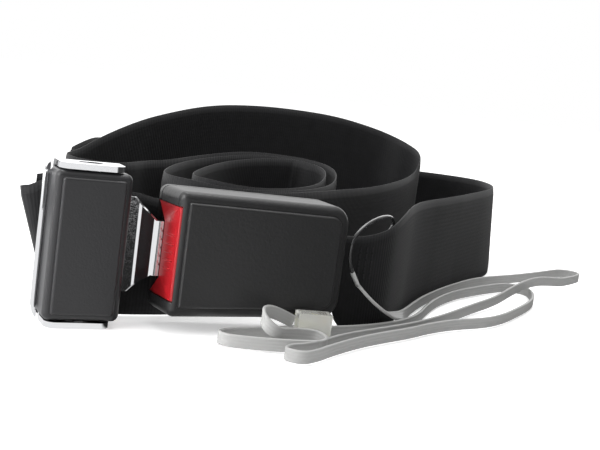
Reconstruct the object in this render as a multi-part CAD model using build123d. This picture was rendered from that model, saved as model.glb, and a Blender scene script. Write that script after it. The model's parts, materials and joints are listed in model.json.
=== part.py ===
from build123d import *
import math
import os

os.makedirs("parts", exist_ok=True)

# Driving dimensions, millimetres. +X runs from the tongue end to the strap end,
# -Y is the front of the buckle, +Z is up, and the floor is Z = 0.
WEBBING_WIDTH = 47.0
PLATE_HALF = WEBBING_WIDTH / 2 + 4.5
AXIS = PLATE_HALF
HOUSING_LENGTH = 68.0
HALF_AT_MOUTH = 22.2
HALF_AT_STRAP = 20.8
FRONT_RIM = -10.6
FRONT_PANEL = -11.8
PARTING = 5.3
BACK = 9.3
WALL = 2.0
WEBBING_THICKNESS = 1.2
TONGUE_SHEET = 2.0
BLADE_HALF = 9.7
SHOULDER_HALF = 16.7
PLATE_LEFT = -41.3
PLATE_RIGHT = -16.4
PLATE_FRONT = 5.0
FLANGE_FRONT = -5.5
PIN_X = HOUSING_LENGTH - 26.0
PIN_Y = -4.0
PIN_RADIUS = 1.5
BAR_X = -29.5
BAR_Y = 0.5
BAR_RADIUS = 2.5
BAR_END_RADIUS = 2.1
CABLE_DIAMETER = 3.2
LEAD_DIAMETER = 1.4
PLUG_ANGLE = -12.0
PLUG_CENTRE = (54.0, -18.5)


def block(x0, x1, y0, y1, z0, z1):
    centre = Pos((x0 + x1) / 2, (y0 + y1) / 2, (z0 + z1) / 2)
    return centre * Box(x1 - x0, y1 - y0, z1 - z0)


def mid_block(x0, x1, y0, y1, half):
    return block(x0, x1, y0, y1, AXIS - half, AXIS + half)


def rod_x(x0, x1, y, z, radius):
    return Pos((x0 + x1) / 2, y, z) * Rot(0, 90, 0) * Cylinder(radius, x1 - x0)


def rod_y(x, y0, y1, z, radius):
    return Pos(x, (y0 + y1) / 2, z) * Rot(90, 0, 0) * Cylinder(radius, y1 - y0)


def rod_z(x, y, z0, z1, radius):
    return Pos(x, y, (z0 + z1) / 2) * Cylinder(radius, z1 - z0)


def face_xz(points):
    loop = [(x, z) for x, z in points]
    return make_face(Polyline(*loop, loop[0]).edges())


def slab(sketch, y0, y1):
    placed = Plane.XZ.offset(-y1) * sketch
    return extrude(placed, amount=y1 - y0, dir=(0, -1, 0))


def slab_z(points, z0, z1):
    loop = [(x, y) for x, y in points]
    face = Pos(0, 0, z0) * make_face(Polyline(*loop, loop[0]).edges())
    return extrude(face, amount=z1 - z0, dir=(0, 0, 1))


def mirrored(half_outline):
    upper = [(x, AXIS + h) for x, h in half_outline]
    lower = [(x, AXIS - h) for x, h in reversed(half_outline)]
    return upper + lower


def tidy_route(points, largest):
    """Bend radii that fit the runs on both sides of each corner."""
    radii = []
    for before, at, after in zip(points, points[1:], points[2:]):
        one = Vector(*at) - Vector(*before)
        two = Vector(*after) - Vector(*at)
        turn = math.radians(one.get_angle(two))
        room = 0.45 * min(one.length, two.length) / math.tan(max(turn, 0.01) / 2)
        radii.append(min(room, largest))
    return radii


def ribbon(points, z0, z1, thickness=WEBBING_THICKNESS, largest=40.0):
    """Webbing standing on edge along a plan route."""
    middle = [(x, y, (z0 + z1) / 2) for x, y in points]
    path = FilletPolyline(*middle, radius=tidy_route(middle, largest))
    start = Plane(origin=path @ 0, x_dir=(0, 0, 1), z_dir=path % 0)
    return sweep(start * Rectangle(z1 - z0, thickness), path=path)


def tube(points, diameter, largest):
    radii = tidy_route(points, largest)
    path = FilletPolyline(*points, radius=radii)
    start = Plane(origin=path @ 0, z_dir=path % 0)
    body = sweep(start * RegularPolygon(diameter / 2, 6), path=path)
    print("tube length", round(path.length, 1), "tightest", round(min(radii), 1))
    return body


def on_edge(points, bottoms, height=WEBBING_WIDTH, thickness=WEBBING_THICKNESS):
    """Webbing on edge whose lower edge follows bottoms, a list of (x, z)."""
    upper = [(x, z + height) for x, z in reversed(bottoms)]
    band = slab(face_xz(bottoms + upper), -60, 260)
    return ribbon(points, -2, 2 * WEBBING_WIDTH, thickness) & band


def coil(x0, x1, radius, wire, turns, sides=8):
    """A coil spring with straight facets round each turn, square wire."""
    steps = sides * turns
    rise = (x1 - x0 - 2 * wire) / steps
    corners = []
    for k in range(steps + 1):
        angle = math.tau * k / sides
        corners.append((radius * math.cos(angle), radius * math.sin(angle), rise * k))
    path = Polyline(*corners)
    start = Plane(origin=path @ 0, z_dir=path % 0)
    return sweep(start * RegularPolygon(wire, 4), path=path, transition=Transition.RIGHT)


def along_x(body, x0, y, z):
    return Pos(x0, y, z) * Rot(0, 90, 0) * body


parts = {}

# Housing: two moulded halves.


def housing_outline(inset):
    half_0 = HALF_AT_MOUTH - inset
    half_1 = HALF_AT_STRAP - inset
    length = HOUSING_LENGTH - inset
    face = face_xz(mirrored([(inset, half_0), (length, half_1)]))
    corners = face.vertices().sort_by(Axis.X)
    face = fillet(corners[2:], 7.0 - 0.7 * inset)
    corners = face.vertices().sort_by(Axis.X)
    return fillet(corners[:2], max(3.0 - 0.7 * inset, 0.6))


END = HOUSING_LENGTH
MOUTH_HALF = 16.8
MOUTH_FRONT = FRONT_RIM + 0.5
SLOT_HALF = 11.0
front = slab(housing_outline(0), FRONT_RIM, PARTING)
front = fillet(front.edges().group_by(Axis.Y)[0], 2.6)
panel = slab(housing_outline(3.6), FRONT_PANEL, FRONT_RIM + 0.5)
front += fillet(panel.edges().group_by(Axis.Y)[0], 1.0)
front -= slab(housing_outline(WALL), FRONT_RIM + 1.0, PARTING)
front -= slab(housing_outline(-1) - housing_outline(0.6), PARTING - 0.6, PARTING)
front -= mid_block(-1, WALL + 0.4, MOUTH_FRONT, PARTING, MOUTH_HALF)
front -= mid_block(WALL - 0.1, 10.2, MOUTH_FRONT, FRONT_RIM + 1.1, MOUTH_HALF)
front -= mid_block(END - WALL - 0.1, END + 1, -4, PARTING, SLOT_HALF)
BOSS_SPOTS = [(31.0, 11.4), (31.0, -11.4), (END - 5.8, 14.0), (END - 5.8, -14.0)]
SCREW_RADIUS = 1.2
for x, h in BOSS_SPOTS:
    foot = PARTING if x > 50 else 2.4
    front += rod_y(x, FRONT_RIM + 0.8, foot, AXIS + h, 2.1)
    front -= rod_y(x, -2.0, foot + 0.1, AXIS + h, SCREW_RADIUS)
for side in (-1, 1):
    z_near = AXIS + side * 17.25
    z_far = AXIS + side * 20.3
    front += block(35.0, 37.0, FRONT_RIM + 0.8, 1.0, min(z_near, z_far), max(z_near, z_far))
parts["front_cover"] = front

rear = slab(housing_outline(0), PARTING, BACK)
rear = fillet(rear.edges().group_by(Axis.Y)[-1], 2.2)
rear -= slab(housing_outline(WALL), PARTING, BACK - 1.9)
rear -= mid_block(-1, WALL + 0.1, PARTING, BACK - 1.4, MOUTH_HALF)
rear -= mid_block(END - WALL - 0.1, END + 1, PARTING, 7.4, SLOT_HALF)
for x, h in BOSS_SPOTS:
    top = PARTING if x > 50 else 4.4
    rear += rod_y(x, top, BACK - 1.5, AXIS + h, 3.0)
    rear -= rod_y(x, top - 0.1, BACK + 0.1, AXIS + h, SCREW_RADIUS)
    rear -= rod_y(x, BACK - 1.2, BACK + 0.1, AXIS + h, 2.3)
for x in (PIN_X + 5.5, 30.0):
    rear += mid_block(x, x + 1.6, 4.4, BACK - 1.5, 10.0)
parts["rear_cover"] = rear

screws = None
for x, h in BOSS_SPOTS:
    z = AXIS + h
    screw = rod_y(x, -1.6, BACK - 0.3, z, SCREW_RADIUS)
    screw += rod_y(x, BACK - 1.2, BACK - 0.1, z, 2.2)
    screw -= block(x - 1.6, x + 1.6, BACK - 0.7, BACK, z - 0.25, z + 0.25)
    screw -= block(x - 0.25, x + 0.25, BACK - 0.7, BACK, z - 1.6, z + 1.6)
    screws = screw if screws is None else screws + screw
parts["cover_screws"] = screws

# Steel frame: base plate with two side walls.
FRAME_BACK = 4.4
FRAME_FACE = 2.4
WALL_IN = 15.0
WALL_OUT = 17.0
steel = mid_block(10.5, END - 8, FRAME_FACE, FRAME_BACK, WALL_OUT)
steel = fillet(steel.edges().filter_by(Axis.Y).group_by(Axis.X)[-1], 3.0)
for side in (-1, 1):
    z_in = AXIS + side * WALL_IN
    z_out = AXIS + side * WALL_OUT
    wall = block(13, PIN_X + 5, -6.8, FRAME_BACK, min(z_in, z_out), max(z_in, z_out))
    steel += fillet(wall.edges().filter_by(Axis.Z).group_by(Axis.Y)[0], 2.5)
steel = fillet(
    steel.edges().filter_by(Axis.X).filter_by(lambda e: abs(e.center().Y - FRAME_BACK) < 0.01)
    .filter_by(lambda e: 20 < e.center().X < 40), 1.4)
steel -= mid_block(13.8, 20.6, FRAME_FACE - 1, FRAME_BACK + 1, 6.2)
steel -= mid_block(END - 18, END - 12.4, FRAME_FACE - 1, FRAME_BACK + 1, 12.0)
steel -= rod_z(PIN_X, PIN_Y, AXIS - 18, AXIS + 18, PIN_RADIUS)
for side in (-1, 1):
    steel -= rod_y(31.0, 1, 6, AXIS + side * 11.4, SCREW_RADIUS)
steel += mid_block(PIN_X + 3.2, PIN_X + 5, -2.0, FRAME_FACE + 0.2, 4.0)
parts["buckle_frame"] = steel

parts["latch_pin"] = rod_z(PIN_X, PIN_Y, AXIS - 17.6, AXIS + 17.6, PIN_RADIUS)

# Latch plate with its hook, drawn raised.
latch = mid_block(15.2, PIN_X, -5.0, -3.0, 7.0)
latch = fillet(latch.edges().filter_by(Axis.Y).group_by(Axis.X)[0], 2.0)
hook_side = [(15.2, -4.0), (18.8, -4.0), (18.8, -0.4), (16.4, -0.4), (15.2, -1.6)]
latch += slab_z(hook_side, AXIS - 5.0, AXIS + 5.0)
latch += rod_z(PIN_X, PIN_Y, AXIS - 7, AXIS + 7, 2.5)
latch -= rod_z(PIN_X, PIN_Y, AXIS - 8, AXIS + 8, PIN_RADIUS + 0.05)
latch -= mid_block(24, PIN_X - 8, -6, -2, 3.4)
parts["latch_plate"] = latch

COIL_RADIUS = 2.05
turns = coil(0, 6.2, COIL_RADIUS, 0.4, 4)
torsion = Pos(PIN_X, PIN_Y, AXIS + 7.9) * turns
parts["latch_spring"] = torsion

# Button: notched face, ribs, roof and two arms.
FACE_X = 0.3
FACE_END = 4.6
FACE_HALF = MOUTH_HALF - 0.4
FACE_FRONT = MOUTH_FRONT + 0.2
notch = [(FACE_HALF, FACE_FRONT), (FACE_HALF, 7.2), (10.0, -0.5)]
section = [(y, AXIS + h) for h, y in notch] + [(y, AXIS - h) for h, y in reversed(notch)]
face = make_face(Polyline(*section, section[0]).edges())
button = extrude(Plane.YZ.offset(FACE_X) * face, amount=FACE_END - FACE_X, dir=(1, 0, 0))
button = fillet(button.edges().filter_by(Axis.Z).group_by(Axis.X)[0].group_by(Axis.Y)[0], 0.9)
for h in range(-6, 7, 3):
    button += rod_y(FACE_X + 0.25, -7.6, -2.4, AXIS + h, 0.5)
collar = mid_block(2.25, 4.6, -8.6, -1.0, 19.3)
button += collar
button += mid_block(FACE_END - 0.5, 19.5, FRONT_RIM + 1.3, -7.4, 8.2)
for side in (-1, 1):
    z_in = AXIS + side * 17.3
    z_out = AXIS + side * 19.3
    button += block(4.0, 24.0, -6.6, -2.0, min(z_in, z_out), max(z_in, z_out))
parts["press_button"] = button

springs = None
for side in (-1, 1):
    spring = along_x(coil(0, 10.6, 0.85, 0.25, 5), 24.3, -4.3, AXIS + side * 18.35)
    springs = spring if springs is None else springs + spring
parts["button_springs"] = springs

# Ejector with its magnet and spring.
ejector = mid_block(26.1, 32.0, -0.6, FRAME_FACE - 0.05, 8.0)
ejector = fillet(ejector.edges().filter_by(Axis.Y), 0.8)
pocket = mid_block(27.6, 30.6, -0.6, 0.9, 2.5)
ejector -= pocket
parts["ejector"] = ejector
parts["magnet"] = pocket
parts["ejector_spring"] = along_x(coil(0, PIN_X - 29.3, 1.05, 0.3, 6), 32.3, 0.95, AXIS)

parts["switch_board"] = mid_block(26.5, 39.0, FRONT_RIM + 1.0, FRONT_RIM + 2.0, 6.0)
reed = rod_x(28.5, 36.5, FRONT_RIM + 3.1, AXIS, 1.1)
reed += rod_x(27.2, 38.0, FRONT_RIM + 3.1, AXIS, 0.3)
for x in (27.2, 37.4):
    reed += block(x, x + 0.6, FRONT_RIM + 2.0, FRONT_RIM + 3.2, AXIS - 0.3, AXIS + 0.3)
parts["reed_switch"] = reed

# Buckle strap: folded narrow end round the frame, then the full width.
FOLD_LOW = AXIS - 9.5
FOLD_HIGH = AXIS + 9.5
EXIT_X = 78.5
fold = [
    (EXIT_X, -1.9), (END, 0.3), (END - 8, 1.2), (END - 15.8, 1.2), (END - 15.8, 5.2),
    (END - 7, 5.2), (END, 2.9), (EXIT_X, 0.2),
]
strap = ribbon(fold, FOLD_LOW, FOLD_HIGH, 1.1, 3.0)
out_route = [
    (77.5, -1.3), (87, 0), (91, 0.8), (96, 3.9), (104, 12), (112, 21.5), (123.5, 36),
    (138.5, 50.5), (158.5, 67), (189.5, 94), (224, 125), (239, 146), (244, 158),
]
FULL = WEBBING_WIDTH
out_top = [
    (77, FULL - 10), (87, FULL - 8.5), (96, FULL - 5), (105, FULL - 2), (114, FULL), (255, FULL),
    (255, 0.01), (96, 0.01), (91, 0.6), (85, 3), (79, 8), (77, 12),
]
out_band = slab(face_xz(out_top), -60, 260)
strap += ribbon(out_route, -1, FULL + 1) & out_band
back_route = [
    (243.6, 157), (247, 168), (246, 181), (239.5, 190.5), (224, 198.5), (190, 203), (140, 205),
    (90, 197), (50, 181), (17, 153), (8, 143), (-3, 130),
]
back_low = [(-20, 1), (-3, 1.5), (8, 5.5), (17, 5.5), (50, 3), (90, 0.5), (140, 0.01), (255, 0.01)]
strap += on_edge(back_route, back_low)
parts["buckle_strap"] = strap

anchor = rod_z(END - 13.8, 3.2, AXIS - 12.0, AXIS + 12.0, 1.2)
parts["anchor_bar"] = anchor

hem_route = [(26.5, 162.9)] + [(x, y + 1.8) for x, y in back_route[-3:]]
hem_low = [(x, z + 1.5) for x, z in back_low]
hem = on_edge(hem_route, hem_low, WEBBING_WIDTH - 3, 1.0)
parts["strap_hem"] = hem

# Adjuster strap: one spiral of webbing, the outer turn arched up.
rise_route = [
    (-20, 15), (-6, 15), (10, 16.8), (35, 22), (62, 34), (76, 43.5), (99, 61.5), (122, 78.5), (141, 94),
    (162, 115), (183, 139.5), (191.5, 148.5), (196.5, 160), (197, 168),
]
rise_low = [(-21, 0), (122, 0), (141, 1), (162, 2), (183, 3.5), (191, 10), (199, 17)]
belt = on_edge(rise_route, rise_low)
arch_route = [
    (197, 166), (197.3, 173), (194, 181), (184, 187.5), (160, 190), (136, 189.5), (108, 185),
    (77, 175), (45, 159.5), (9, 130), (-3, 118.5),
]
arch_low = [
    (-8, 1), (-3.0, 1.5), (9, 7), (27, 13.5), (45, 18.5), (77, 25.8), (108, 28), (136, 28),
    (160, 26.8), (184, 22.5), (199, 14.5),
]
belt += on_edge(arch_route, arch_low)
inner_route = [
    (-2, 119.5), (-9, 111.5), (-12, 102), (-10.5, 91), (-4, 83.5), (5, 83.5), (13, 90), (23, 103),
    (36, 112), (52, 127), (70, 141), (90, 150), (108, 150), (121, 143), (126, 130), (123, 112),
    (112, 92), (95, 73), (75, 57.5), (55, 47), (38, 43), (24, 46), (18.5, 56), (20, 68),
    (34, 96), (52, 118), (70, 131), (88, 137), (104, 136), (114, 129), (118, 118), (113, 103),
    (101, 86), (82, 70), (62, 57.5), (46, 52), (34, 54), (31, 63), (38, 78), (56, 102), (72, 116),
    (90, 124), (106, 127.5),
]
behind_low = [(-20, 1), (32, 1), (52, 4), (70, 6), (84, 10), (96, 10.5), (130, 9)]
for first, last, right in ((0, 13, None), (13, 22, 126), (22, 29, None), (29, 36, 118), (36, 42, None)):
    stretch = inner_route[first:last + 1]
    if first:
        stretch[0] = tuple((Vector(*stretch[0]) + Vector(*stretch[1])) / 2)[:2]
    if last + 1 < len(inner_route):
        stretch.append(tuple((Vector(*stretch[-1]) + Vector(*inner_route[last + 1])) / 2)[:2])
    low = behind_low
    if right:
        low = [(-20, 1), (32, 1), (right - 32, 0), (right - 3, 9), (right + 5, 10)]
    belt += on_edge(stretch, low)
parts["adjuster_strap"] = belt

# Tongue stamping: blade, joggle, wide plate and two flanges.
side_profile = [
    (PLATE_LEFT, 5), (-5.8, 5), (-1.8, 0), (26, 0), (26, 2), (-0.8, 2), (-4.8, 7), (PLATE_LEFT, 7),
]
stamping = slab_z(side_profile, 0, 2 * AXIS)
bends = stamping.edges().filter_by(Axis.Z).filter_by(lambda e: -6.5 < e.center().X < 0)
stamping = fillet(bends, 1.4)
plan_half = [
    (PLATE_LEFT, PLATE_HALF), (PLATE_RIGHT, PLATE_HALF), (-13.5, SHOULDER_HALF),
    (-7.5, SHOULDER_HALF), (-3.4, BLADE_HALF), (22.5, BLADE_HALF), (26, 6.5),
]
plan = face_xz(mirrored(plan_half))
plan = fillet(plan.vertices().sort_by(Axis.X)[:2], 4.0)
stamping &= slab(plan, -1, 8)
for side in (-1, 1):
    z_out = AXIS + side * PLATE_HALF
    z_in = z_out - side * TONGUE_SHEET
    flange = block(-38.7, PLATE_RIGHT, FLANGE_FRONT, 7, min(z_in, z_out), max(z_in, z_out))
    flange = fillet(flange.edges().filter_by(Axis.Z).group_by(Axis.Y)[0], 3.5)
    fold_edge = flange.edges().filter_by(Axis.X).group_by(Axis.Y)[-1]
    outer = fold_edge.sort_by(lambda e: abs(e.center().Z - AXIS))[-1]
    corner = block(-42, PLATE_RIGHT + 1, 4, 8, min(z_in, z_out), max(z_in, z_out))
    keep = corner & block(-42, -39.7, 4, 8, min(z_in, z_out), max(z_in, z_out))
    stamping -= corner - keep
    stamping += fillet(outer, 1.8)
    notch_z = AXIS + side * (PLATE_HALF - 2.6)
    stamping -= block(-39.8, -38.7, 4, 8, notch_z - 2.6, notch_z + 2.7)
stamping -= mid_block(-36.3, -20, 4, 8, PLATE_HALF - 3.6)
latch_window = mid_block(14, 21, -1, 3, 5.6)
stamping -= fillet(latch_window.edges().filter_by(Axis.Y), 1.2)
slot = mid_block(-31.7, -23.3, BAR_Y - 2.2, BAR_Y + 2.2, PLATE_HALF + 1)
stamping -= fillet(slot.edges().filter_by(Axis.Z), 2.1)
parts["tongue_frame"] = stamping

# Moulded cover over the adjuster.
COVER_HALF = PLATE_HALF - 2.4


def cover_outline(inset):
    points = mirrored([(-40 + inset, COVER_HALF - inset), (-13.6 - inset, COVER_HALF - inset)])
    return fillet(face_xz(points).vertices(), max(2.5 - 0.6 * inset, 0.8))


cover = slab(cover_outline(0), -5.5, PLATE_FRONT)
cover = fillet(cover.edges().group_by(Axis.Y)[0], 2.0)
raised = slab(cover_outline(2.3), -6.5, -5.0)
cover += fillet(raised.edges().group_by(Axis.Y)[0], 0.9)
cover -= slab(cover_outline(WALL), -4.5, PLATE_FRONT)
cover -= mid_block(-32.0, -23.0, BAR_Y - 2.3, PLATE_FRONT + 1, PLATE_HALF)
parts["adjuster_cover"] = cover

KNURL_HALF = PLATE_HALF - 4.6
GROOVES = 16
bar = rod_z(BAR_X, BAR_Y, AXIS - KNURL_HALF, AXIS + KNURL_HALF, BAR_RADIUS)
for k in range(GROOVES):
    angle = math.tau * k / GROOVES
    x = BAR_X + BAR_RADIUS * math.cos(angle)
    y = BAR_Y + BAR_RADIUS * math.sin(angle)
    groove = Pos(x, y, AXIS) * Rot(0, 0, math.degrees(angle) + 45) * Box(0.25, 0.25, PLATE_HALF * 2)
    bar -= groove
bar += rod_z(BAR_X, BAR_Y, 0.3, 2 * AXIS - 0.3, BAR_END_RADIUS)
parts["adjuster_bar"] = bar

STUB_LOW = AXIS - WEBBING_WIDTH / 2
STUB_HIGH = AXIS + WEBBING_WIDTH / 2
stub_route = [
    (-38, 15), (-42.5, 15), (-47.7, 13.8), (-47.7, 9.0), (-43, 8.2), (-36, 8.2), (-33.4, 6.6),
    (-33.2, -1.2), (-31, -3.2), (-24.5, -3.2), (-22, -1.2), (-22, 8.0), (-24, 9.9), (-43.0, 10.3),
]
stub = ribbon(stub_route, STUB_LOW, STUB_HIGH, 1.1, 2.4)
slope = [(-39, STUB_LOW), (-38, STUB_LOW), (-20, 0.25), (-20, FULL + 0.25), (-38, STUB_HIGH), (-39, STUB_HIGH)]
stub += slab(face_xz(slope), 14.45, 15.55)
parts["adjuster_webbing"] = stub

# Sensor lead, splice and flat cable.
lead_route = [
    (END - 10, 6.6, AXIS + 4), (69, 6.5, AXIS + 4.4), (77, 5.4, 33.8), (85, 4.9, 35.6), (91.5, 6.2, 38),
    (96.5, 8.9, 41), (98.2, 10, 44.2), (95.8, 8.3, 47), (89.5, 3.6, 47.6), (82, -2.0, 46.6),
    (75.8, -5.8, 43.5), (72.6, -7.0, 38.5), (71.9, -7.2, 32.5), (72.3, -7.0, 27.5), (74.2, -6.4, 24),
]
lead = tube(lead_route, LEAD_DIAMETER, 9.0)
parts["sensor_lead"] = lead
cable_route = [
    (76.5, -6, 20.8), (82, -5.4, 17.0), (89, -4, 12.5), (96, -0.5, 8.2), (103, 6, 5), (110, 13, 3.4),
    (117.5, 22.5, 2.6), (127, 33, 2.6), (141.5, 47.8, 2.6), (161.3, 65.3, 2.6), (190, 87.5, 2.6),
    (206, 97, 2.6), (226, 101.5, 3.4), (243, 104.5, 4.8), (257, 108.5, 5.8), (266, 112.5, 6),
    (273, 111.5, 6), (275, 104.5, 6), (267, 98.5, 5.6), (250, 89, 5.5), (234, 79.5, 7.8),
    (217, 70.5, 8.8), (199.5, 61.6, 6), (182, 49.5, 3.2), (155, 31.5, 2.6), (131, 13.2, 2.6),
    (109, -1, 2.6), (92, -9.5, 2.6), (74, -17.5, 2.6), (62, -24.0, 2.6), (52, -31.5, 2.6),
    (43.5, -35.9, 2.6), (37.6, -37, 2.6), (32.8, -41.6, 2.6), (37.2, -46.9, 2.6),
    (44, -44, 2.6), (52.4, -37.4, 2.6),
    (61, -31.5, 2.6), (73, -24, 2.6), (87, -17, 2.6), (100, -11, 2.6), (115, -2, 2.6),
    (131, 4.5, 2.6), (148, 8.5, 2.6), (162, 16, 2.6), (180, 30, 2.6), (197, 44, 2.6), (209, 57, 2.6),
    (217, 70, 2.6), (219.5, 79, 2.6), (212.5, 84.5, 2.6), (199, 79, 2.6), (181, 69.5, 2.6),
    (165, 60, 2.6), (145.5, 44, 2.6), (130.5, 28, 2.6), (119, 14.5, 2.6), (107.5, 4, 2.6),
    (95, -3, 2.6), (83, -8, 2.6), (71, -11, 2.6), (60, -12.3, 2.6), (49, -12, 2.6), (42, -14.8, 2.6),
    (32, -16, 2.6), (22.5, -17.5, 2.6), (17, -20.5, 2.6), (17.5, -25.5, 2.6), (24, -28.5, 2.6),
    (33, -31, 2.6), (43.4, -32.6, 2.6), (51.2, -33.2, 2.8), (54.3, -30.6, 3.2), (54.5, -26.7, 3.8),
    (51.9, -24.2, 4.3), (46, -24.8, 4.8), (41.2, -26.4, 5.3), (35.4, -29.4, 6), (30.8, -27.6, 9.4),
    (31.6, -23.4, 12.6), (38, -20.5, 11.5), (46.6, -17.0, 7.4),
]
cable = tube(cable_route, CABLE_DIAMETER, 30.0)
parts["flat_cable"] = cable

splice_start = Vector(*lead_route[-1])
splice_end = Vector(*cable_route[0])
run = splice_end - splice_start
sleeve = Plane(origin=splice_start - run * 0.35, z_dir=run) * Cylinder(
    2.1, run.length * 1.7, align=(Align.CENTER, Align.CENTER, Align.MIN))
parts["splice_sleeve"] = sleeve - lead - cable
grommet = block(END - 9.5, END - 2.1, 5.85, BACK - 1.9, AXIS + 1.5, AXIS + 6.5)
parts["lead_grommet"] = grommet - lead

# Clear modular plug with its clip, contacts and cores, standing near the buckle.


def plug_place(body):
    return Pos(PLUG_CENTRE[0], PLUG_CENTRE[1], 0) * Rot(0, 0, PLUG_ANGLE) * body


plug = block(-6.15, 6.15, -3.3, 3.3, 2.9, 11.3)
plug = fillet(plug.edges().filter_by(Axis.Y).group_by(Axis.X)[0], 0.9)
plug -= block(-7, -1.0, -2.6, 2.6, 5.0, 9.4)
core_grooves = None
contacts = None
for k in range(4):
    y = -1.53 + 1.02 * k
    core = rod_x(-5.0, 4.4, y, 7.2, 0.42)
    blade = block(1.6, 4.6, y - 0.16, y + 0.16, 7.7, 11.3)
    core_grooves = core if core_grooves is None else core_grooves + core
    contacts = blade if contacts is None else contacts + blade
core_grooves -= contacts
plug -= core_grooves
plug -= contacts
parts["plug_body"] = plug_place(plug) - cable
parts["plug_wires"] = plug_place(core_grooves) - cable
parts["plug_contacts"] = plug_place(contacts)
CLIP_X = 5.4
clip = block(-6.0, CLIP_X + 0.4, -1.6, 1.6, 0.6, 1.5)
clip += block(CLIP_X - 0.4, CLIP_X + 0.4, -1.6, 1.6, 0.6, 2.3)
clip += rod_y(CLIP_X, -1.6, 1.6, 2.3, 0.58)
clip += block(-1.5, 2.5, -3.0, 3.0, 0.6, 1.5)
parts["plug_clip"] = plug_place(clip)

CORDS = (
    "flat_cable", "sensor_lead", "splice_sleeve", "plug_body", "plug_wires", "plug_contacts",
    "plug_clip",
)
low = [1e9, 1e9, 1e9]
high = [-1e9, -1e9, -1e9]
for name, body in parts.items():
    if name in CORDS:
        continue
    box = body.bounding_box()
    low = [min(a, b) for a, b in zip(low, box.min)]
    high = [max(a, b) for a, b in zip(high, box.max)]
shift = Pos(-(low[0] + high[0]) / 2, -(low[1] + high[1]) / 2, -low[2])
print("shift", shift.position)
for name, body in parts.items():
    solids = body.solids()
    whole = solids[0] if len(solids) == 1 else Compound(children=list(solids))
    export_step(shift * whole, f"parts/{name}.step")
    print(name, len(solids), "volume", round(body.volume, 1))
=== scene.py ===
import json
import math
import bpy
from mathutils import Matrix, Vector


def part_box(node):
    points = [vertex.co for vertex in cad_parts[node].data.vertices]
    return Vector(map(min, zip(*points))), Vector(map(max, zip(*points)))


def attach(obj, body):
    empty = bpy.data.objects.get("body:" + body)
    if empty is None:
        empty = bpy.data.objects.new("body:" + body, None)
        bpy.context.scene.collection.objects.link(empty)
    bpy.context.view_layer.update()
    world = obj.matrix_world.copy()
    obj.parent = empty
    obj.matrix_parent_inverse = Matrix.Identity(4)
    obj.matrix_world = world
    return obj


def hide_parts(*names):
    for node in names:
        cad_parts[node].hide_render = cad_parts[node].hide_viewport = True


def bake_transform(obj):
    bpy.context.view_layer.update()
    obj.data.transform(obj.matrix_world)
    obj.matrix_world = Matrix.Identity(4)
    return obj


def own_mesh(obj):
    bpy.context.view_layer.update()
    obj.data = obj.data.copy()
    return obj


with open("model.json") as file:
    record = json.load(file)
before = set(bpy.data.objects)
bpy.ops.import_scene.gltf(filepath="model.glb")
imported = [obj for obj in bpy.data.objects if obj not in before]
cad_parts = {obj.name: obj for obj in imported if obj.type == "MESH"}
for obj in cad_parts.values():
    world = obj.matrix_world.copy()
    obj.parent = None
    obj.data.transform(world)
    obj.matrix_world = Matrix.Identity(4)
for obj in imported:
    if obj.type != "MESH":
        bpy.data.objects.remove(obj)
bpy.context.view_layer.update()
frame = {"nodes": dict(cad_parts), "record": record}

# All places below are written in millimetres from the corner where the buckle's
# mouth, the blade's front face and the floor meet; AT moves them to the row frame.
HOUSING_LOW = Vector(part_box("front_cover")[0]) * 1000
HOUSING_CORNER = Vector((0.0, -11.8, 5.8))
AT = HOUSING_LOW - HOUSING_CORNER
MM = 0.001
AXIS = 28.0


def at(x, y, z):
    return (Vector((x, y, z)) + AT) * MM


# ---------------------------------------------------------------- camera
CAMERA_AT = (-122.44, -362.11, 94.42)
YAW, PITCH, ROLL = math.radians(25.8), math.radians(7.74), math.radians(7.68)
LENS = 66.0
SENSOR = 36.0


def make_camera():
    """Turned by yaw to the right, by pitch downwards and by roll about its own line of sight."""
    right = Vector((math.cos(YAW), -math.sin(YAW), 0))
    ahead = Vector((math.sin(YAW) * math.cos(PITCH), math.cos(YAW) * math.cos(PITCH), -math.sin(PITCH)))
    up = Vector((math.sin(YAW) * math.sin(PITCH), math.cos(YAW) * math.sin(PITCH), math.cos(PITCH)))
    across = math.cos(ROLL) * right + math.sin(ROLL) * up
    upward = -math.sin(ROLL) * right + math.cos(ROLL) * up
    data = bpy.data.cameras.new("camera")
    data.lens, data.sensor_width, data.sensor_fit = LENS, SENSOR, "HORIZONTAL"
    data.clip_start = 0.01
    camera = bpy.data.objects.new("camera", data)
    bpy.context.collection.objects.link(camera)
    turn = Matrix((across, upward, -ahead)).transposed().to_4x4()
    camera.matrix_world = Matrix.Translation(at(*CAMERA_AT)) @ turn
    bpy.context.scene.camera = camera


make_camera()
scene = bpy.context.scene
scene.view_settings.view_transform = "Standard"

# ---------------------------------------------------------------- materials


def material(
        name, color, rough=0.5, metal=0.0, coat=0.0, sheen=0.0, transmission=0.0, ior=1.45, specular=0.5):
    made = bpy.data.materials.new(name)
    made.use_nodes = True
    shader = made.node_tree.nodes["Principled BSDF"]
    values = {
        "Base Color": (*color, 1), "Roughness": rough, "Metallic": metal, "Coat Weight": coat,
        "Sheen Weight": sheen, "Transmission Weight": transmission, "IOR": ior,
        "Specular IOR Level": specular,
    }
    for socket, value in values.items():
        shader.inputs[socket].default_value = value
    return made


def add_node(made, kind, **inputs):
    node = made.node_tree.nodes.new(kind)
    for name, value in inputs.items():
        node.inputs[name.replace("_", " ")].default_value = value
    return node


def link(made, source, output, target, entry):
    made.node_tree.links.new(source.outputs[output], target.inputs[entry])


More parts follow.
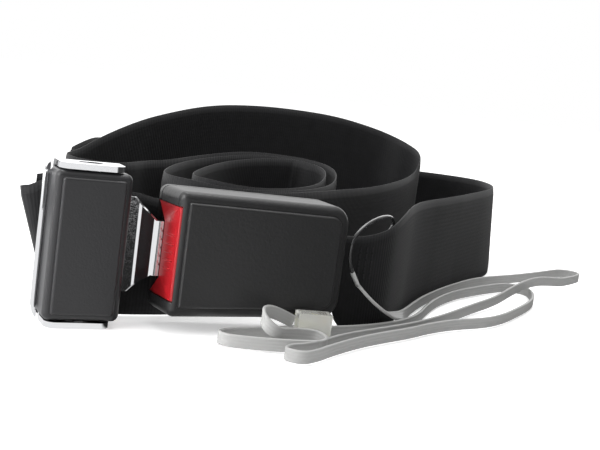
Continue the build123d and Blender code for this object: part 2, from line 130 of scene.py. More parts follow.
def add_grain(made, scale, strength, distance=0.0002, detail=2.0):
    """Moulded grain: fine noise as a bump."""
    shader = made.node_tree.nodes["Principled BSDF"]
    place = made.node_tree.nodes.new("ShaderNodeTexCoord")
    noise = add_node(made, "ShaderNodeTexNoise", Scale=scale, Detail=detail)
    bump = add_node(made, "ShaderNodeBump", Strength=strength, Distance=distance)
    link(made, place, "Object", noise, "Vector")
    link(made, noise, "Fac", bump, "Height")
    link(made, bump, "Normal", shader, "Normal")


def add_scuffs(made, low, high, scale=260, lines=0.08):
    """Roughness that varies, as on handled metal, with fine lines in it."""
    shader = made.node_tree.nodes["Principled BSDF"]
    place = made.node_tree.nodes.new("ShaderNodeTexCoord")
    stretch = add_node(made, "ShaderNodeMapping", Scale=(1.0, 1.0, 5.0))
    noise = add_node(made, "ShaderNodeTexNoise", Scale=scale, Detail=6.0)
    span = made.node_tree.nodes.new("ShaderNodeMapRange")
    for name, value in (("From Min", 0.35), ("From Max", 0.68), ("To Min", low), ("To Max", high)):
        span.inputs[name].default_value = value
    bump = add_node(made, "ShaderNodeBump", Strength=lines, Distance=0.0002)
    link(made, place, "Object", stretch, "Vector")
    link(made, stretch, "Vector", noise, "Vector")
    link(made, noise, "Fac", span, "Value")
    link(made, span, "Result", shader, "Roughness")
    link(made, noise, "Fac", bump, "Height")
    link(made, bump, "Normal", shader, "Normal")


BLACK = material("black_plastic", (0.019, 0.019, 0.0195), rough=0.36, specular=0.62)
add_grain(BLACK, 900, 0.5)
COVER = material("cover_plastic", (0.027, 0.027, 0.0285), rough=0.33)
add_grain(COVER, 1300, 0.25)
RED = material("red_plastic", (0.31, 0.009, 0.013), rough=0.32, coat=0.15)
add_grain(RED, 1500, 0.1)
CHROME = material("chrome", (0.8, 0.805, 0.82), rough=0.1, metal=1.0)
add_scuffs(CHROME, 0.03, 0.13, scale=900, lines=0.002)
STEEL = material("steel", (0.45, 0.45, 0.47), rough=0.35, metal=1.0)
add_scuffs(STEEL, 0.28, 0.45)
SPRING = material("spring_steel", (0.35, 0.35, 0.37), rough=0.3, metal=1.0)
CABLE = material("cable_grey", (0.4, 0.4, 0.395), rough=0.42)
add_grain(CABLE, 900, 0.1)
LEAD = material("lead_black", (0.03, 0.03, 0.031), rough=0.16, coat=1.0)
CLEAR = material("clear_plastic", (0.97, 0.97, 0.92), rough=0.12, transmission=0.55, ior=1.5, coat=0.6)
GOLD = material("gold_contacts", (0.83, 0.6, 0.22), rough=0.25, metal=1.0)
CORES = material("core_insulation", (0.5, 0.5, 0.06), rough=0.4)
BOARD = material("board", (0.02, 0.16, 0.06), rough=0.4)
REED = material("reed_glass", (0.75, 0.82, 0.8), rough=0.05, transmission=0.8)
MAGNET = material("magnet", (0.12, 0.12, 0.13), rough=0.5, metal=0.6)


# A wave texture has WAVE bands in each unit, here a millimetre of the weave's own map.
WAVE = math.pi / 10
RIB_PITCH = 1.3
YARN_PITCH = 1.9
YARN_SHARE = 0.45
STREAK_SCALE = 0.14
DARK_YARN, PALE_YARN = 0.7, 1.5


def make_webbing(name, color):
    """Black woven webbing: ribs across the width, yarn lines along it, uneven tone."""
    made = material(name, color, rough=0.62, sheen=0.06, specular=0.3)
    shader = made.node_tree.nodes["Principled BSDF"]
    place = made.node_tree.nodes.new("ShaderNodeUVMap")
    place.uv_map = "weave"
    ribs = add_node(made, "ShaderNodeTexWave", Scale=WAVE / RIB_PITCH, Distortion=0.5, Detail=1.0)
    ribs.wave_type, ribs.bands_direction = "BANDS", "X"
    yarn = add_node(made, "ShaderNodeTexWave", Scale=WAVE / YARN_PITCH, Distortion=0.3, Detail=1.0)
    yarn.wave_type, yarn.bands_direction = "BANDS", "Y"
    both = add_node(made, "ShaderNodeMath")
    both.operation = "MULTIPLY_ADD"
    both.inputs[1].default_value = YARN_SHARE
    bump = add_node(made, "ShaderNodeBump", Strength=0.4, Distance=0.00015)
    link(made, place, "UV", ribs, "Vector")
    link(made, place, "UV", yarn, "Vector")
    made.node_tree.links.new(yarn.outputs["Fac"], both.inputs[0])
    made.node_tree.links.new(ribs.outputs["Fac"], both.inputs[2])
    link(made, both, "Value", bump, "Height")
    link(made, bump, "Normal", shader, "Normal")
    streak = add_node(made, "ShaderNodeTexNoise", Scale=STREAK_SCALE, Detail=3.0)
    tone = made.node_tree.nodes.new("ShaderNodeMix")
    tone.data_type = "RGBA"
    tone.inputs["A"].default_value = (*[c * DARK_YARN for c in color], 1)
    tone.inputs["B"].default_value = (*[c * PALE_YARN for c in color], 1)
    link(made, place, "UV", streak, "Vector")
    link(made, streak, "Fac", tone, "Factor")
    made.node_tree.links.new(tone.outputs["Result"], shader.inputs["Base Color"])
    return made


WEBBING = make_webbing("webbing", (0.009, 0.009, 0.0098))
STITCH = material("stitch", (0.013, 0.013, 0.0145), rough=0.7, sheen=0.02)
BY_SLOT = {
    "black_plastic": BLACK, "cover_plastic": COVER, "red_plastic": RED, "chrome": CHROME,
    "steel": STEEL, "spring_steel": SPRING, "webbing": WEBBING, "stitch": STITCH,
    "cable_grey": CABLE, "lead_black": LEAD, "clear": CLEAR, "gold": GOLD, "cores": CORES,
    "board": BOARD, "reed_glass": REED, "magnet": MAGNET,
}


def dress_nodes():
    slot_of = {part["node"]: part["material_slot"] for part in frame["record"]["subparts"]}
    for name, obj in frame["nodes"].items():
        obj.data.materials.clear()
        obj.data.materials.append(BY_SLOT[slot_of[name]])


dress_nodes()

# ---------------------------------------------------------------- meshes


def new_mesh(name, points, faces, made, body, smooth=True, uvs=None):
    mesh = bpy.data.meshes.new(name)
    mesh.from_pydata([tuple(p) for p in points], [], faces)
    mesh.update()
    if smooth:
        mesh.shade_smooth()
    if uvs:
        layer = mesh.uv_layers.new(name="weave")
        for loop in mesh.loops:
            layer.data[loop.index].uv = uvs[loop.vertex_index]
    mesh.materials.append(made)
    obj = bpy.data.objects.new(name, mesh)
    bpy.context.collection.objects.link(obj)
    if body:
        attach(obj, body)
    return obj


def quads_round(rows, n, turned=False):
    """The quads between rows of n points each, round a closed section."""
    faces = []
    for row in range(0, (rows - 1) * n, n):
        for k in range(n):
            m = (k + 1) % n
            a, b, c, d = row + k, row + m, row + n + m, row + n + k
            faces.append((a, d, c, b) if turned else (a, b, c, d))
    return faces


def curve_points(name, control, resolution):
    """Points of a smooth line with these control points, row frame, metres."""
    data = bpy.data.curves.new(name, "CURVE")
    data.dimensions = "3D"
    spline = data.splines.new("NURBS")
    spline.points.add(len(control) - 1)
    for point, place in zip(spline.points, control):
        point.co = (*place, 1.0)
    spline.order_u = 3
    spline.use_endpoint_u = True
    data.resolution_u = resolution
    holder = bpy.data.objects.new(name, data)
    mesh = bpy.data.meshes.new_from_object(holder)
    line = [v.co.copy() for v in mesh.vertices]
    bpy.data.objects.remove(holder)
    bpy.data.meshes.remove(mesh)
    return line


def resample(line, step):
    """The same line in equal steps."""
    total = sum((b - a).length for a, b in zip(line, line[1:]))
    count = max(2, round(total / step))
    gap = total / count
    out, walked, wanted = [line[0]], 0.0, gap
    for a, b in zip(line, line[1:]):
        length = (b - a).length
        while length > 0 and walked + length >= wanted - 1e-9 and len(out) < count:
            out.append(a.lerp(b, (wanted - walked) / length))
            wanted += gap
        walked += length
    out.append(line[-1])
    return out


def level(stations, x):
    """Straight interpolation in a list of (x, value)."""
    if x <= stations[0][0]:
        return stations[0][1]
    for (x0, v0), (x1, v1) in zip(stations, stations[1:]):
        if x <= x1:
            return v0 + (v1 - v0) * (x - x0) / (x1 - x0)
    return stations[-1][1]


WIDTH = 47.0
WEB_STEP = 0.0025
WEB_THICK = 0.0012
WEB_ROWS = 12
WEB_EDGE = 0.35
WEB_CURVE = 10
WEDGE_X, WEDGE_BACK = -38.0, 40.0
WEDGE_FOOT, WEDGE_HEIGHT = 14.0, 30.5


def wedge(place):
    """The loop left of the tongue narrows towards the floor."""
    edge = at(WEDGE_X, 0, 0).x
    if place.x >= edge or place.y > at(0, WEDGE_BACK, 0).y:
        return place.x
    share = min(1.0, max(0.0, (place.z - at(0, 0, WEDGE_FOOT).z) / (WEDGE_HEIGHT * MM)))
    return edge - (edge - place.x) * share


def webbing(name, route, body, lean=None):
    """A woven strap on edge, and its length.

    route is a list of (x, y, bottom, top) in millimetres, and lean one of (distance, lean): how
    far the lower edge stands out beyond the upper one at that distance along the strap.
    """
    middle = curve_points(name, [at(x, y, 0) for x, y, _, _ in route], WEB_CURVE)
    low = curve_points(name, [at(x, y, bottom) for x, y, bottom, _ in route], WEB_CURVE)
    high = curve_points(name, [at(x, y, top) for x, y, _, top in route], WEB_CURVE)
    walked = [0.0]
    for a, b in zip(middle, middle[1:]):
        walked.append(walked[-1] + (b - a).length)
    bottoms = list(zip(walked, [p.z for p in low]))
    tops = list(zip(walked, [p.z for p in high]))
    line = resample(middle, WEB_STEP)
    gap = walked[-1] / (len(line) - 1)
    ring = []
    half = WEB_THICK / 2
    for k in range(WEB_ROWS + 1):
        t = k / WEB_ROWS
        ring.append((t, half if 0 < k < WEB_ROWS else half * WEB_EDGE))
    profile = ring + [(t, -h) for t, h in reversed(ring)]
    points, uvs = [], []
    for i, p in enumerate(line):
        before, after = line[max(i - 1, 0)], line[min(i + 1, len(line) - 1)]
        along = (after - before).normalized()
        side = Vector((along.y, -along.x, 0))
        s = i * gap
        bottom, top = level(bottoms, s), level(tops, s)
        tilt = level(lean, s * 1000) * MM if lean else 0.0
        for t, h in profile:
            place = Vector((p.x, p.y, 0)) + side * (h - tilt * (t - 0.5))
            place.z = bottom + (top - bottom) * t
            place.x = wedge(place)
            points.append(place)
            uvs.append((s * 1000, t * WIDTH))
    n = len(profile)
    faces = quads_round(len(line), n)
    faces.append(tuple(range(n)))
    last = (len(line) - 1) * n
    faces.append(tuple(last + k for k in reversed(range(n))))
    return new_mesh(name, points, faces, WEBBING, body, True, uvs), walked[-1]


# ---------------------------------------------------------------- shaped ends
SHOULDER = (-9.6, 16.9)
NECK = (-2.6, 9.7)
BEND_RADII = (2.2, 2.8)
BENDS = [(-12.9, 4.96), (-6.7, 4.96), (-2.7, -0.04), (0.9, -0.04)]
BEND_BACK = (0.8, 0.5)
BEND_STEP = 0.35
LIP_AT, LIP_RADIUS, LIP_HALF, LIP_SIDES = (-41.0, 5.5), 1.1, 22.5, 16
LIP_END = [(0.2, 1.6), (0.75, 0.9), (1.0, 0.0)]
PLAN_CORNER = -13.4
MOUTH_LEAN, LEAN_REACH, MOUTH_DEPTH = 2.4, 9.0, 10.6


def reach_at(x):
    """Half the tongue's width at x."""
    share = (x - SHOULDER[0]) / (NECK[0] - SHOULDER[0])
    return SHOULDER[1] + (NECK[1] - SHOULDER[1]) * max(0.0, min(1.0, share))


def shoulder(x, y, z):
    """The stamping is cut straight from the plate's shoulder to the blade."""
    if PLAN_CORNER < x < NECK[0]:
        reach = reach_at(x)
        z = AXIS + max(-reach, min(reach, z - AXIS))
    return x, y, z


def rounded(corners, radii, steps=12):
    """The corners' polyline with an arc at each inner corner, in even small facets."""
    line = [Vector(corners[0])]
    for before, corner, after, radius in zip(corners, corners[1:], corners[2:], radii):
        corner = Vector(corner)
        back, on = (Vector(before) - corner).normalized(), (Vector(after) - corner).normalized()
        run = radius / math.tan(back.angle(on) / 2)
        centre = corner + (back + on).normalized() * radius / math.sin(back.angle(on) / 2)
        first, last = corner + back * run - centre, corner + on * run - centre
        for k in range(steps + 1):
            spoke = first.lerp(last, k / steps)
            line.append(centre + spoke.normalized() * radius)
    line.append(Vector(corners[-1]))
    return line


def tongue_bends():
    """The joggle between plate and blade with its pressed, rounded bends."""
    line = []
    bent = rounded(BENDS, BEND_RADII)
    for a, b in zip(bent, bent[1:]):
        parts = max(1, round((b - a).length / BEND_STEP))
        line += [a.lerp(b, k / parts) for k in range(parts)]
    line.append(Vector(BENDS[-1]))
    points = []
    for x, y in line:
        reach = reach_at(x)
        back = (x + BEND_BACK[0], y + BEND_BACK[1])
        points += [at(x, y, AXIS - reach), at(x, y, AXIS + reach)]
        points += [at(*back, AXIS + reach), at(*back, AXIS - reach)]
    faces = quads_round(len(line), 4, turned=True)
    faces += [(0, 1, 2, 3), tuple(len(points) - 1 - k for k in range(4))]
    obj = new_mesh("tongue_bends", points, faces, CHROME, "tongue")
    obj.data.set_sharp_from_angle(angle=math.radians(40))
    return obj


def leaning_mouth(x, y, z):
    """The mouth's end leans back towards the front face."""
    share = max(0.0, 1.0 - max(x, 0.0) / LEAN_REACH) * min(1.0, max(0.0, -y / MOUTH_DEPTH))
    return x + MOUTH_LEAN * share, y, z


def reshaped(node, name, body, change):
    """A copy of a node's mesh with change(x, y, z) applied to its points, shown in its place."""
    mesh = frame["nodes"][node].data.copy()
    mesh.name = name
    for vertex in mesh.vertices:
        place = Vector(vertex.co) / MM - AT
        vertex.co = at(*change(*place))
    mesh.update()
    obj = bpy.data.objects.new(name, mesh)
    bpy.context.collection.objects.link(obj)
    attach(obj, body)
    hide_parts(node)
    return obj


def plate_lip():
    """The plate's left edge is rolled round, and shows as a bright line beside the cover."""
    angles = [math.tau * k / LIP_SIDES for k in range(LIP_SIDES)]
    upper = [(share, LIP_HALF + rise) for share, rise in LIP_END]
    points = []
    for share, reach in upper + [(share, -reach) for share, reach in reversed(upper)]:
        for angle in angles:
            x = LIP_AT[0] + LIP_RADIUS * math.cos(angle) * share
            y = LIP_AT[1] + LIP_RADIUS * math.sin(angle) * share
            points.append(at(x, y, AXIS + reach))
    faces = quads_round(2 * len(LIP_END), LIP_SIDES, turned=True)
    faces += [tuple(range(LIP_SIDES)), tuple(len(points) - 1 - k for k in range(LIP_SIDES))]
    return new_mesh("plate_lip", points, faces, CHROME, "tongue")


reshaped("tongue_frame", "tongue_stamping", "tongue", shoulder)
tongue_bends()
plate_lip()
reshaped("front_cover", "front_shell", "buckle", leaning_mouth)
reshaped("press_button", "button_face", "button", leaning_mouth)


def pressed_springs():
    """A copy of the button's coils, which sit against the cover's ribs, with its points unchanged and a
    mesh of its own.
    """
    coils = reshaped("button_springs", "button_coils", "buckle", lambda *place: place)
    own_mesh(coils)


pressed_springs()

# ---------------------------------------------------------------- straps
THROUGH_BAR = [
    (-43, 10.3, 3.6, 49.5), (-34, 10.1, 4.5, 51.5), (-24, 9.9, 4.5, 51.5), (-22, 8.0, 4.5, 51.5),
    (-22, 3.4, 4.5, 51.5), (-22, -1.2, 4.5, 51.5), (-24.5, -3.2, 4.5, 51.5), (-31, -3.2, 4.5, 51.5),
    (-33.2, -1.2, 4.5, 51.5), (-33.4, 3, 4.5, 51.5), (-33.6, 6.6, 4.5, 51.5), (-36, 8.2, 4.2, 51.0),
    (-43, 8.4, 2.4, 47.0), (-47.9, 9.2, 1.0, 44.8), (-47.9, 13.6, 0.6, 44.8), (-43, 15, 0.4, 45.2),
    (-32, 15, 0.3, 45.4), (-20, 15, 0.3, 45.5), (-6, 15, 0.3, 45.5), (3, 15.6, 0.3, 43.0),
    (10, 16.8, 0.2, 43.6), (20, 18.8, 0.1, 45.4),
]
RISING = [
    (35, 22, 0.1), (62, 34, 0.1), (76, 43.5, 0.1), (99, 61.5, 0.1), (122, 78.5, 0.2), (141, 94, 1),
    (162, 115, 2), (183, 139.5, 3.5), (191.5, 148.5, 9.5), (196.5, 160, 14), (197.3, 173, 16.5),
    (194, 181, 19), (184, 187.5, 22.5), (160, 190, 26.8), (136, 189.5, 28), (108, 185, 28),
    (77, 175, 25.8), (45, 159.5, 18.5), (27, 145, 13.5), (9, 130, 7),
]
COILED = [
    (-2, 119.5, 2), (-9, 111.5, 1), (-12, 102, 1), (-10.5, 91, 1), (-4, 83.5, 1), (5, 83.5, 1),
    (13, 90, 1), (23, 103, 1), (36, 112, 1.2), (52, 127, 2.4), (70, 141, 3.8), (90, 150, 5.8),
    (108, 150, 5.8), (121, 143, 5.4), (126, 130, 4.6), (123, 112, 2.8), (112, 92, 0.9, 45.8),
    (95, 73, 0.2, 45.4), (75, 57.5, 0.1, 45.2), (55, 47, 0.1, 45.4), (38, 43, 0.3, 46), (24, 46, 1),
    (18.5, 56, 1), (20, 68, 1), (34, 96, 1.2), (52, 118, 2.4), (70, 131, 3.8), (88, 137, 5.6),
    (104, 136, 5.6), (114, 129, 5), (118, 118, 4), (113, 103, 2), (101, 86, 0.6, 45.4),
    (82, 70, 0.1, 45), (62, 57.5, 0.1, 45.2), (46, 52, 0.5, 46), (34, 54, 1), (31, 63, 1),
    (38, 78, 1.3), (56, 102, 2.8), (72, 116, 4), (90, 124, 5.6), (106, 127.5, 5.6),
]
BELT = THROUGH_BAR + [(x, y, z, z + (tall[0] if tall else WIDTH)) for x, y, z, *tall in RISING + COILED]
belt, belt_length = webbing("adjuster_belt", BELT, None)
print("belt length", belt_length)
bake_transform(belt)
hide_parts("adjuster_strap", "adjuster_webbing")

OUT = [
    (62, 1.4, 19, 36.6), (66, 1.1, 18.6, 36.6), (69, 0.6, 13, 36.6), (72, -0.2, 3, 36.7),
    (76, -1.0, 0.1, 36.9), (81, -1.4, 0.1, 37.5), (86, -0.7, 0.1, 38.6), (91, 0.8, 0.1, 40.2),
    (96, 3.9, 0.1, 42.2), (104, 12, 0.1, 45), (112, 21.5, 0.1, 46.7),
]
OUT_COIL = [
    (123.5, 36, 0.1), (138.5, 50.5, 0.1), (158.5, 67, 0.1), (189.5, 94, 0.1), (225.5, 125, 0.1),
    (242, 146, 0.1), (250.8, 168, 0.1), (250.3, 181, 0.1), (242.5, 190.5, 0.1), (225, 198.5, 0.1),
    (190, 203, 0.1), (140, 205, 0.1), (90, 197, 0.5), (50, 181, 3), (17, 153, 5.5), (8, 143, 5.5),
    (-3, 130, 1.5),
]
OUT_LEAN = [(0, 0), (150, 0), (215, 4), (290, 4), (340, 0), (600, 0)]
OUT_ROUTE = OUT + [(x, y, z, z + WIDTH) for x, y, z in OUT_COIL]
tail, tail_length = webbing("buckle_belt", OUT_ROUTE, "buckle", lean=OUT_LEAN)
print("tail length", tail_length)
FOLDED = [
    (58, 5.2, 19, 36.6), (66, 3.4, 19, 36.6), (74, 1.2, 18.5, 36.6), (80, 0.3, 17, 36.8),
    (86, 1.1, 15, 37.2),
]
folded, _ = webbing("folded_end", FOLDED, "buckle")
HEM = [(26.5, 162.9, 6.5, 49.8), (17, 154.7, 7, 51), (8, 144.7, 7, 51), (-3, 131.6, 3, 47)]
hem, _ = webbing("end_hem", HEM, "buckle")


STITCH_STEP = 0.5
STITCH_MARGIN = 2
STITCH_GAP, STITCH_DASH = 2.6, 1.7
STITCH_HALF, STITCH_DEPTH = 0.3, 0.35


def stitch_rows(name, route, rows, out):
    """Thread dashes across a strap: rows are distances along route in millimetres."""
    middle = curve_points(name, [at(x, y, 0) for x, y, _, _ in route], WEB_CURVE)
    line = resample(middle, STITCH_STEP * MM)
    points, faces = [], []
    low, high = route[0][2] + STITCH_MARGIN, route[0][3] - STITCH_MARGIN
    for row in rows:
        i = min(int(row / STITCH_STEP), len(line) - 2)
        along = (line[i + 1] - line[i]).normalized()
        side = Vector((along.y, -along.x, 0)) * out * MM
        z = low
        while z + STITCH_DASH < high:
            for face_side in (side, -side):
                middle = line[i] + face_side
                first = len(points)
                for dz in (0, STITCH_DASH):
                    for shift in (-STITCH_HALF, STITCH_HALF):
                        foot = middle + along * shift * MM
                        points.append(Vector((foot.x, foot.y, at(0, 0, z + dz).z)))
                        points.append(points[-1] + face_side * STITCH_DEPTH)
                faces += [tuple(first + k for k in quad) for quad in (
                    (0, 2, 6, 4), (1, 5, 7, 3), (0, 4, 5, 1), (2, 3, 7, 6), (0, 1, 3, 2), (4, 6, 7, 5))]
            z += STITCH_GAP
    return new_mesh(name, points, faces, STITCH, "buckle", False)


hem_thread = stitch_rows("hem_thread", HEM, [4, 8, 12, 16], out=1.9)
fold_thread = stitch_rows("fold_thread", FOLDED, [21, 23.5, 26], out=2.0)
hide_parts("buckle_strap")
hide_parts("strap_hem")

# ---------------------------------------------------------------- cords
LEAD_ROUTE = [
    (58, 6.6, 31), (69, 6.5, 30.6), (77, 5.6, 30.8), (85, 5.6, 32.2), (91.5, 7.4, 34.6),
    (96.5, 9.8, 38), (98.6, 10.6, 41.6), (95.8, 8.3, 44.2), (89.5, 3.6, 44.8), (82, -2.4, 43.8),
    (75.2, -6.2, 41.0), (71.6, -7.4, 37), (71.0, -7.4, 32), (71.8, -7.1, 27), (74.2, -6.4, 23.4),
]
CABLE_ROUTE = [
    (76.5, -6, 20.0), (81.5, -5.8, 15.4), (88.5, -4.6, 10.6), (96, -0.5, 6.6), (103, 6, 5),
    (110, 13, 3.4),
    (117.5, 22.5, 2.6), (127, 33, 2.6), (141.5, 47.8, 2.6), (161.3, 65.3, 2.6), (190, 87.5, 2.6),
    (206, 97, 2.6), (226, 101.5, 3.4), (243, 104.5, 4.8), (257, 108.5, 5.8), (266, 112.5, 6),
    (273, 111.5, 6), (275, 104.5, 6), (267, 98.5, 5.6), (250, 89, 5.5), (234, 79.5, 7.8),
    (217, 70.5, 8.8), (199.5, 61.6, 6), (182, 49.5, 3.2), (155, 31.5, 2.6), (131, 13.2, 2.6),
    (109, -1, 2.6), (92, -9.5, 2.6), (74, -17.5, 2.6), (62, -24.0, 2.6), (52, -31.5, 2.6),
    (43.5, -35.9, 2.6), (37.6, -37, 2.6), (32.8, -41.6, 2.6), (37.2, -46.9, 2.6),
    (44, -44, 2.6), (52.4, -37.4, 2.6),
    (61, -31.5, 2.6), (73, -24, 2.6), (87, -17, 2.6), (100, -11, 2.6), (115, -2, 2.6),
    (131, 4.5, 2.6), (148, 8.5, 2.6), (162, 16, 2.6), (180, 30, 2.6), (197, 44, 2.6), (209, 57, 2.6),
    (217, 70, 2.6), (219.5, 79, 2.6), (212.5, 84.5, 2.6), (199, 79, 2.6), (181, 69.5, 2.6),
    (165, 60, 2.6), (145.5, 44, 2.6), (130.5, 28, 2.6), (119, 14.5, 2.6), (107.5, 4, 2.6),
    (95, -3, 2.6), (83, -8, 2.6), (71, -11, 2.6), (60, -12.3, 2.6), (49, -12, 2.6), (42, -14.8, 2.6),
    (32, -16, 2.6), (22.5, -17.5, 2.6), (17, -20.5, 2.6), (17.5, -25.5, 2.6), (24, -28.5, 2.6),
    (33, -31, 2.6), (43.4, -32.6, 2.6), (51.2, -33.2, 2.8), (54.3, -30.6, 3.2), (54.5, -26.7, 3.8),
    (51.9, -24.2, 4.3), (46, -24.8, 4.8), (41.2, -26.4, 5.3), (35.4, -29.4, 6), (30.8, -27.6, 9.4),
    (31.6, -23.4, 12.6), (38, -20.5, 11.5), (46.6, -17.0, 7.4),
]
LEAD_DIAMETER = 0.0014
CABLE_WIDE, CABLE_THICK, CABLE_EDGE = 4.6, 1.2, 0.12
CORD_CURVE = 8
# The flat cable's turn about its own line: (distance from the splice, degrees).
TWIST = [(0, 74), (22, 74), (36, 55), (50, 18), (62, 0)]
# The splice's boot: (share of the way to the cable, half width, half thickness).
BOOT = [(-0.25, 0.85, 0.85), (0.1, 0.95, 0.9), (0.45, 1.5, 0.85), (0.8, 2.2, 0.75), (1.25, 2.42, 0.7)]
BOOT_SIDES = 12


def turned_section(along, degrees):
    """Unit vectors through a cord's thickness and across its width."""
    side = along.cross(Vector((0, 0, 1))).normalized()
    wide = side.cross(along).normalized()
    turn = math.radians(degrees)
    return (side * math.cos(turn) + wide * math.sin(turn),
            wide * math.cos(turn) - side * math.sin(turn))


def flat_section():
    """Half profile of a four-core flat jacket, across (thickness, width)."""
    out = []
    lobes = 4
    pitch = CABLE_WIDE / lobes
    for lobe in range(lobes):
        centre = -CABLE_WIDE / 2 + pitch * (lobe + 0.5)
        for part in (-0.5, -0.3, 0.0, 0.3):
            swell = CABLE_THICK / 2 * (1.0 - 0.12 * (2 * part) ** 2)
            if lobe == 0 and part == -0.5:
                swell = CABLE_EDGE
            out.append((swell, centre + part * pitch))
    out.append((CABLE_EDGE, CABLE_WIDE / 2))
    return out


def flat_cable():
    """The jacket along its route, and the line that it follows."""
    line = curve_points("flat_path", [at(*p) for p in CABLE_ROUTE], CORD_CURVE)
    half = flat_section()
    profile = half + [(-t, w) for t, w in reversed(half)]
    points, n = [], len(profile)
    walked = 0.0
    for i, p in enumerate(line):
        before, after = line[max(i - 1, 0)], line[min(i + 1, len(line) - 1)]
        walked += (p - before).length * 1000
        side, wide = turned_section((after - before).normalized(), level(TWIST, walked))
        for t, w in profile:
            points.append(p + (side * t + wide * w) * MM)
    faces = quads_round(len(line), n)
    faces.append(tuple(range(n)))
    last = (len(line) - 1) * n
    faces.append(tuple(last + k for k in reversed(range(n))))
    return new_mesh("flat_cable_jacket", points, faces, CABLE, "buckle"), line


def splice_boot():
    """The jacket's first millimetres, drawn down over the thin wire."""
    start, end = at(*LEAD_ROUTE[-1]), at(*CABLE_ROUTE[0])
    run = end - start
    side, wide = turned_section(run.normalized(), TWIST[0][1])
    points = []
    for share, half_wide, half_thick in BOOT:
        for k in range(BOOT_SIDES):
            angle = math.tau * k / BOOT_SIDES
            out = wide * half_wide * math.cos(angle) + side * half_thick * math.sin(angle)
            points.append(start + run * share + out * MM)
    faces = quads_round(len(BOOT), BOOT_SIDES)
    faces.append(tuple(reversed(range(BOOT_SIDES))))
    faces.append(tuple((len(BOOT) - 1) * BOOT_SIDES + k for k in range(BOOT_SIDES)))
    return new_mesh("splice_boot", points, faces, CABLE, "buckle")


boot = splice_boot()
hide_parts("splice_sleeve")
jacket, jacket_line = flat_cable()
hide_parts("flat_cable")


def round_cord(name, route, diameter, made):
    data = bpy.data.curves.new(name, "CURVE")
    data.dimensions = "3D"
    data.bevel_depth = diameter / 2
    data.bevel_resolution = 3
    data.use_fill_caps = True
    spline = data.splines.new("NURBS")
    spline.points.add(len(route) - 1)
    for point, place in zip(spline.points, route):
        point.co = (*at(*place), 1.0)
    spline.order_u = 3
    spline.use_endpoint_u = True
    data.resolution_u = CORD_CURVE
    data.materials.append(made)
    obj = bpy.data.objects.new(name, data)
    bpy.context.collection.objects.link(obj)
    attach(obj, "buckle")
    return obj


lead = round_cord("sensor_wire", LEAD_ROUTE, LEAD_DIAMETER, LEAD)
lead_line = curve_points("lead_path", [at(*p) for p in LEAD_ROUTE], CORD_CURVE)
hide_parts("sensor_lead")

# ---------------------------------------------------------------- stage and light


def direction_value(tree, terms, base):
    """A value by direction: the largest of ramps over x, y or z, over a base."""
    place = tree.nodes.new("ShaderNodeTexCoord")
    parts = tree.nodes.new("ShaderNodeSeparateXYZ")
    tree.links.new(place.outputs["Generated"], parts.inputs[0])
    last = None
    for axis, low, high, strength in terms:
        ramp = tree.nodes.new("ShaderNodeMapRange")
        ramp.interpolation_type = "SMOOTHSTEP"
        for name, value in (("From Min", low), ("From Max", high), ("To Min", base), ("To Max", strength)):
            ramp.inputs[name].default_value = value
        tree.links.new(parts.outputs[axis], ramp.inputs["Value"])
        if last is None:
            last = ramp.outputs["Result"]
            continue
        larger = tree.nodes.new("ShaderNodeMath")
        larger.operation = "MAXIMUM"
        tree.links.new(last, larger.inputs[0])
        tree.links.new(ramp.outputs["Result"], larger.inputs[1])
        last = larger.outputs[0]
    return last


# What the studio gives by direction: (axis, from, to, brightness), as diffuse light and as gloss.
SOFT_STUDIO = [("Z", 0.2, 0.9, 0.95), ("Y", 0.05, 0.6, 1.0), ("X", -0.35, -0.9, 0.8)]
SHINY_STUDIO = [("Z", 0.3, 0.9, 0.9), ("Y", 0.1, 0.7, 1.6), ("X", -0.35, -0.9, 1.3)]
STUDIO_BASE = 0.1
# The floor's brightness in reflections only, in painted reflection bands across it: (place, brightness).
# They paint the light and dark streaks into the chrome and the gloss of the black parts. A band runs
# along the direction in which the tongue's plate mirrors the floor to its front.
SLANT = 0.31
PAINTED_REFLECTION_STRIPS = [
    (-60, 1.0), (-20, 0.96), (-15, 0.02), (-3.2, 0.02), (-1.5, 0.3), (9, 0.45), (17, 0.95),
    (50, 0.3), (95, 0.05),
]
FLOOR_SIZE, FLOOR_Z = 4.0, -0.0003
FLOOR_LIFT = 0.45


def make_world():
    """White to the camera; to everything else a studio bright above, behind and left."""
    world = bpy.data.worlds.new("studio")
    scene.world = world
    world.use_nodes = True
    tree = world.node_tree
    studio = tree.nodes["Background"]
    studio.inputs["Color"].default_value = (1, 1, 1, 1)
    soft = direction_value(tree, SOFT_STUDIO, STUDIO_BASE)
    shine = direction_value(tree, SHINY_STUDIO, STUDIO_BASE)
    path = tree.nodes.new("ShaderNodeLightPath")
    by_gloss = tree.nodes.new("ShaderNodeMix")
    tree.links.new(path.outputs["Is Glossy Ray"], by_gloss.inputs["Factor"])
    tree.links.new(soft, by_gloss.inputs["A"])
    tree.links.new(shine, by_gloss.inputs["B"])
    tree.links.new(by_gloss.outputs["Result"], studio.inputs["Strength"])
    white = tree.nodes.new("ShaderNodeBackground")
    white.inputs["Color"].default_value = (1, 1, 1, 1)
    white.inputs["Strength"].default_value = 1.0
    mix = tree.nodes.new("ShaderNodeMixShader")
    tree.links.new(path.outputs["Is Camera Ray"], mix.inputs[0])
    tree.links.new(studio.outputs[0], mix.inputs[1])
    tree.links.new(white.outputs[0], mix.inputs[2])
    tree.links.new(mix.outputs[0], tree.nodes["World Output"].inputs[0])


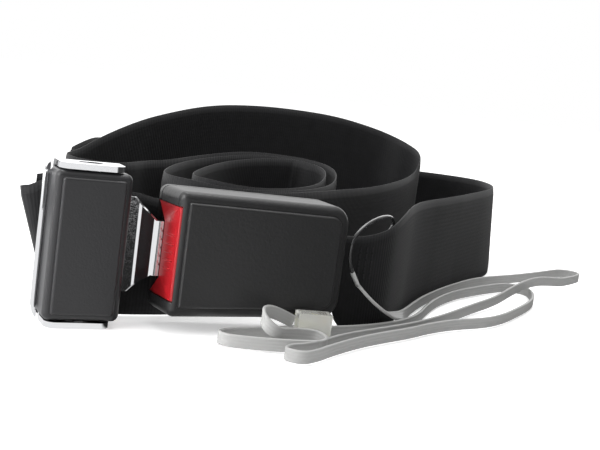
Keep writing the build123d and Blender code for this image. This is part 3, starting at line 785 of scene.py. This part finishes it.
def make_floor():
    """A white sweep that stays white to the camera and keeps the contact shadow; in reflections it shows
    painted reflection bands instead.
    """
    mesh = bpy.data.meshes.new("floor")
    corners = [(x * FLOOR_SIZE, y * FLOOR_SIZE, FLOOR_Z) for x, y in ((-1, -1), (1, -1), (1, 1), (-1, 1))]
    mesh.from_pydata(corners, [], [(0, 1, 2, 3)])
    made = bpy.data.materials.new("floor")
    made.use_nodes = True
    tree = made.node_tree
    tree.nodes.remove(tree.nodes["Principled BSDF"])
    matte = tree.nodes.new("ShaderNodeBsdfDiffuse")
    matte.inputs["Color"].default_value = (0.9, 0.9, 0.9, 1)
    lift = tree.nodes.new("ShaderNodeEmission")
    lift.inputs["Strength"].default_value = FLOOR_LIFT
    seen = tree.nodes.new("ShaderNodeAddShader")
    # Seen only in reflections: a painted reflection, an emission in bands set by place, not a lit floor.
    painted_reflection = tree.nodes.new("ShaderNodeEmission")
    place = tree.nodes.new("ShaderNodeTexCoord")
    parts = tree.nodes.new("ShaderNodeSeparateXYZ")
    slant = tree.nodes.new("ShaderNodeMath")
    slant.operation = "MULTIPLY_ADD"
    slant.inputs[1].default_value = SLANT
    span = tree.nodes.new("ShaderNodeMapRange")
    low, high = PAINTED_REFLECTION_STRIPS[0][0], PAINTED_REFLECTION_STRIPS[-1][0]
    shifted = AT.x + SLANT * AT.y
    span.inputs["From Min"].default_value = (low + shifted) * MM
    span.inputs["From Max"].default_value = (high + shifted) * MM
    ramp = tree.nodes.new("ShaderNodeValToRGB")
    for k, (x, value) in enumerate(PAINTED_REFLECTION_STRIPS):
        spot = (x - low) / (high - low)
        stop = ramp.color_ramp.elements[k] if k < 2 else ramp.color_ramp.elements.new(spot)
        stop.position = spot
        stop.color = (value, value, value, 1)
    path = tree.nodes.new("ShaderNodeLightPath")
    by_camera = tree.nodes.new("ShaderNodeMixShader")
    by_gloss = tree.nodes.new("ShaderNodeMixShader")
    links = tree.links
    links.new(place.outputs["Object"], parts.inputs[0])
    links.new(parts.outputs["Y"], slant.inputs[0])
    links.new(parts.outputs["X"], slant.inputs[2])
    links.new(slant.outputs[0], span.inputs["Value"])
    links.new(span.outputs["Result"], ramp.inputs["Fac"])
    links.new(ramp.outputs["Color"], painted_reflection.inputs["Strength"])
    links.new(matte.outputs[0], seen.inputs[0])
    links.new(lift.outputs[0], seen.inputs[1])
    links.new(path.outputs["Is Camera Ray"], by_camera.inputs[0])
    links.new(matte.outputs[0], by_camera.inputs[1])
    links.new(seen.outputs[0], by_camera.inputs[2])
    links.new(path.outputs["Is Glossy Ray"], by_gloss.inputs[0])
    links.new(by_camera.outputs[0], by_gloss.inputs[1])
    links.new(painted_reflection.outputs[0], by_gloss.inputs[2])
    links.new(by_gloss.outputs[0], tree.nodes["Material Output"].inputs[0])
    mesh.materials.append(made)
    made_floor = bpy.data.objects.new("floor", mesh)
    bpy.context.collection.objects.link(made_floor)


make_world()
make_floor()


def area_light(name, place, target, size, power):
    """A square lamp that lights and reflects, but isn't itself in view."""
    data = bpy.data.lights.new(name, "AREA")
    data.shape, data.size, data.energy = "SQUARE", size, power
    obj = bpy.data.objects.new(name, data)
    bpy.context.collection.objects.link(obj)
    obj.visible_camera = False
    obj.location = at(*place)
    aim = at(*target) - obj.location
    obj.rotation_euler = aim.to_track_quat("-Z", "Y").to_euler()
    return obj


area_light("top_light", (60, 160, 900), (60, 60, 0), 0.7, 5)
area_light("left_light", (-600, -200, 350), (30, 0, 30), 0.45, 3)
edge_light = area_light("edge_light", (-150, 14, 30), (-44, 12, 28), 0.08, 0.035)
edge_light.data.spread = math.radians(26)
edge_light.visible_glossy = False
